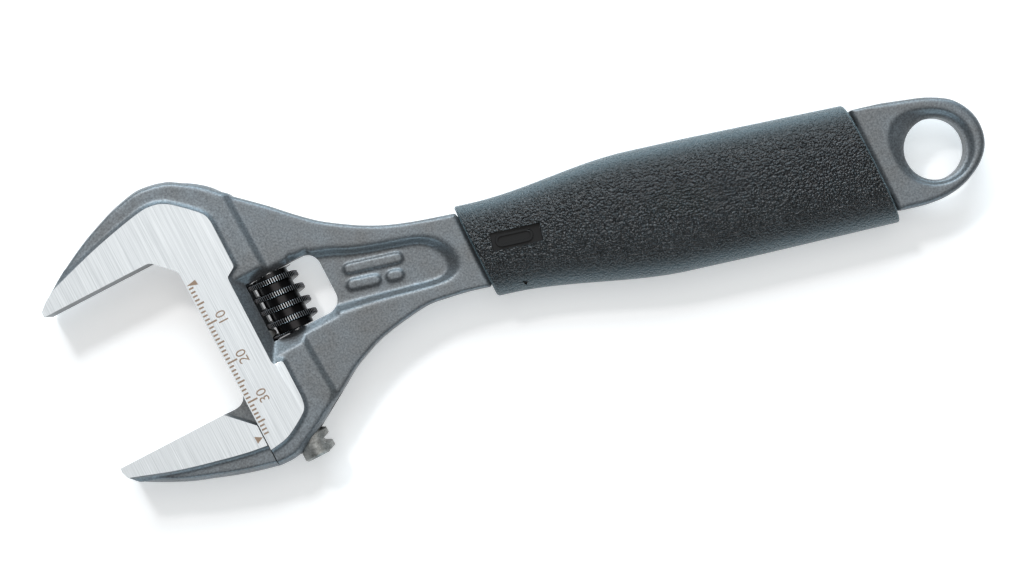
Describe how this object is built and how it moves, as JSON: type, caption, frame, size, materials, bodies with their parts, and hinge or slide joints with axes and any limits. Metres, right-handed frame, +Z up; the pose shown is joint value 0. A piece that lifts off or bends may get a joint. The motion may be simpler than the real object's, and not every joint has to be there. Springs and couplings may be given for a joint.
{
  "type": "adjustable wrench",
  "caption": "Wide-jaw adjustable wrench with a worm-driven sliding jaw, millimetre jaw scale, grained grip sleeve and hanging eye.",
  "frame": {"origin": "centre of the wrench's bounding box in plan, at its lowest level (the underside of the grip), with the wrench lying flat", "axes": "+X along the handle towards the hanging eye, +Y across the handle towards the fixed jaw's side, +Z up through the thickness of the head"},
  "size_m": [0.2192, 0.0698, 0.0173],
  "materials": {
    "forged_steel": "black phosphated forging with brushed ground faces",
    "jaw_steel": "black phosphated forging with brushed ground faces",
    "worm_steel": "oiled black oxide, knurled crests",
    "pin_steel": "turned",
    "spring_wire": "drawn wire",
    "grip_elastomer": "moulded leather grain"
  },
  "bodies": {
    "root": {"forged_body": "forged_steel", "grip_sleeve": "grip_elastomer", "worm_pin": "pin_steel", "worm_spring": "spring_wire"},
    "jaw": {"sliding_jaw": "jaw_steel"},
    "worm": {"adjusting_worm": "worm_steel"}
  },
  "joints": [
    {"name": "jaw_slide", "type": "slide", "parent": "root", "child": "jaw", "axis": [-0.2588, 0.9659, 0], "range_m": [0, 0.0382]},
    {"name": "worm_spin", "type": "hinge", "parent": "root", "child": "worm", "pos_m": [-0.05523, 0.00227, 0.00867], "axis": [-0.2588, 0.9659, 0], "range_deg": [0, 4300]}
  ],
  "couplings": [
    {"joint": "worm_spin", "follows": "jaw_slide", "rad_per_m": 1963.5}
  ]
}
